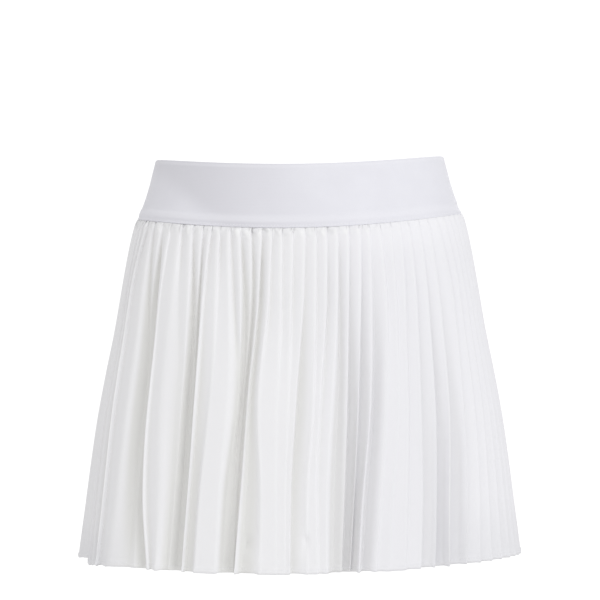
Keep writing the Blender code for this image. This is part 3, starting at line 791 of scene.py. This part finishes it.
def stitch_tree():
    """Nodes that lay stitches end to end along a line, with their upper side towards the line's facing."""
    tree = bpy.data.node_groups.new("stitches along a line", "GeometryNodeTree")
    tree.interface.new_socket("Line", in_out="INPUT", socket_type="NodeSocketGeometry")
    for name in ("Pitch", "Length", "Width"):
        tree.interface.new_socket(name, in_out="INPUT", socket_type="NodeSocketFloat")
    tree.interface.new_socket("Thread", in_out="INPUT", socket_type="NodeSocketMaterial")
    tree.interface.new_socket("Stitches", in_out="OUTPUT", socket_type="NodeSocketGeometry")
    nodes = Nodes(tree)
    names = ("Line", "Pitch", "Length", "Width", "Thread")
    line, pitch, length, width, material = (nodes.node("NodeGroupInput", {}, output=name) for name in names)
    curve = nodes.node("GeometryNodeMeshToCurve", {}, line)
    spaced = nodes.node("GeometryNodeResampleCurve", {"mode": "LENGTH"}, curve, Length=pitch)
    tangent = nodes.node("GeometryNodeInputTangent", {})
    facing = nodes.node("GeometryNodeInputNamedAttribute", {"data_type": "FLOAT_VECTOR"}, "facing")
    along = nodes.node("FunctionNodeAlignRotationToVector", {"axis": "X"}, Vector=tangent)
    upright = {"axis": "Z", "pivot_axis": "X"}
    turned = nodes.node("FunctionNodeAlignRotationToVector", upright, along, Vector=facing)
    least, most = HALF_STITCH
    pulled = nodes.node("FunctionNodeRandomValue", {"data_type": "FLOAT"}, Min=least, Max=most, Seed=3)
    size = nodes.node("ShaderNodeCombineXYZ", {}, length * pulled, width * 0.5, width * 0.5)
    bead = nodes.node("GeometryNodeMeshUVSphere", {}, Segments=8, Rings=5, Radius=1.0)
    laid = nodes.node("GeometryNodeInstanceOnPoints", {}, spaced, Instance=bead, Rotation=turned, Scale=size)
    solid = nodes.node("GeometryNodeRealizeInstances", {}, laid)
    smooth = nodes.node("GeometryNodeSetShadeSmooth", {}, solid)
    painted = nodes.node("GeometryNodeSetMaterial", {}, smooth, Material=material)
    nodes.node("NodeGroupOutput", {}, painted)
    return tree


def thread_material():
    """White polyester thread, with a slight shine and a twist along it."""
    paint = Paint("sewing_thread")
    twist = paint.noise(paint.object_place(), scale=2500.0, detail=1.0, roughness=0.5)
    paint.set(
        Base_Color=paint.mix(twist, (0.82, 0.82, 0.85, 1), (0.92, 0.92, 0.94, 1)),
        Roughness=0.45,
        Normal=paint.bump(twist, TWIST_RELIEF),
    )
    return paint.material


stitch_nodes = stitch_tree()
thread = thread_material()


def stitch_row(name, piece, columns, row, raised):
    """A row of stitches along one row of a piece's grid, raised off it. It goes with the piece."""
    chosen = slice(row * columns, (row + 1) * columns)
    points = np.array([v.co for v in piece.data.vertices[chosen]])
    facing = np.array([v.normal for v in piece.data.vertices[chosen]])
    mesh = bpy.data.meshes.new(name)
    mesh.from_pydata((points + facing * raised).tolist(), [(i, i + 1) for i in range(columns - 1)], [])
    mesh.attributes.new("facing", "FLOAT_VECTOR", "POINT").data.foreach_set("vector", facing.ravel())
    stitches = bpy.data.objects.new(name, mesh)
    bpy.context.scene.collection.objects.link(stitches)
    laying = stitches.modifiers.new("stitches", "NODES")
    laying.node_group = stitch_nodes
    inputs = {"Pitch": STITCH_PITCH, "Length": STITCH_LENGTH, "Width": THREAD_WIDTH, "Thread": thread}
    for socket in stitch_nodes.interface.items_tree:
        if socket.name in inputs:
            laying[socket.identifier] = inputs[socket.name]
    laid = stitches.evaluated_get(bpy.context.evaluated_depsgraph_get())
    stitches.data = bpy.data.meshes.new_from_object(laid)
    stitches.modifiers.clear()
    stitches.parent = piece
    return stitches


seam_row = abs(BAND_DROPS - SEAM_STITCH_DROP).argmin()
hem_row = abs(SKIRT_DROPS - HEM_STITCH_DROP).argmin()
for piece, side in ((band_front, "front"), (band_back, "back")):
    stitches = stitch_row(side + "_seam_stitches", piece, BAND_COLUMNS + 1, seam_row, 0.0)
for piece, side in ((skirt_front, "front"), (skirt_back, "back")):
    columns = len(piece.data.vertices) // len(SKIRT_DROPS)
    stitches = stitch_row(side + "_hem_stitches", piece, columns, hem_row, CLOTH_THICKNESS / 2)


# --------------------------------------------------------------------------------------------------
# Studio: a level camera with a long lens, a large soft light from the front right, a pale surround, and
# a pale floor far below, because the wearer holds the skirt up.

CAMERA_DISTANCE = 4.4
CAMERA_HEIGHT = -0.1013
CAMERA_ASIDE = 0.0003
FRAME_WIDTH = 0.5418  # what the picture spans at the garment's centre
SENSOR = 36.0
LAMPS_AIM_AT = (0, 0, -0.15)
SURROUND_LIGHT = 0.76
BACKDROP_LIGHT = 1.1
FLOOR_Z = -0.98
FLOOR_RADIUS = 9.0

camera = bpy.data.objects.new("camera", bpy.data.cameras.new("camera"))
camera.data.sensor_width = SENSOR
camera.data.lens = SENSOR * CAMERA_DISTANCE / FRAME_WIDTH
camera.location = (CAMERA_ASIDE, -CAMERA_DISTANCE, CAMERA_HEIGHT)
camera.rotation_euler = (math.radians(90), 0, 0)
bpy.context.scene.collection.objects.link(camera)
bpy.context.scene.camera = camera

Lamp = namedtuple("Lamp", "name place colour size power")
LAMPS = (
    Lamp("key", (1.40, -1.95, 1.25), (0.97, 0.98, 1.00), 1.2, 16.8),
    Lamp("front_fill", (-1.3, -2.85, 0.6), (1.00, 0.985, 0.95), 1.6, 4.7),
    Lamp("back_fill", (0.6, 2.8, 1.2), (1.00, 1.00, 1.00), 2.0, 12.0),
)
for row in LAMPS:
    light = bpy.data.lights.new(row.name, "AREA")
    light.energy = row.power
    light.size = row.size
    light.color = row.colour
    lamp = bpy.data.objects.new(row.name, light)
    lamp.location = row.place
    away = lamp.location - Vector(LAMPS_AIM_AT)
    lamp.rotation_euler = away.to_track_quat("Z", "Y").to_euler()
    lamp.visible_camera = False
    bpy.context.scene.collection.objects.link(lamp)

world = bpy.data.worlds.new("surround")
world.use_nodes = True
world.node_tree.nodes.clear()
bpy.context.scene.world = world
surround = Nodes(world.node_tree)
even_light = surround.node("ShaderNodeBackground", {}, (1, 1, 1, 1), SURROUND_LIGHT)
backdrop = surround.node("ShaderNodeBackground", {}, (1, 1, 1, 1), BACKDROP_LIGHT)
seen = surround.node("ShaderNodeLightPath", {}, output="Is Camera Ray")
sky = surround.node("ShaderNodeMixShader", {}, seen, even_light, backdrop)
surround.node("ShaderNodeOutputWorld", {}, sky)

below = (0, 0, FLOOR_Z)
bpy.ops.mesh.primitive_circle_add(vertices=96, radius=FLOOR_RADIUS, fill_type="NGON", location=below)
floor = bpy.context.object
floor.name = "floor"
floor_paint = Paint("floor")
floor_paint.set(Base_Color=(0.9, 0.9, 0.9, 1), Roughness=0.9)
floor.data.materials.append(floor_paint.material)

bpy.context.scene.view_settings.view_transform = "Standard"
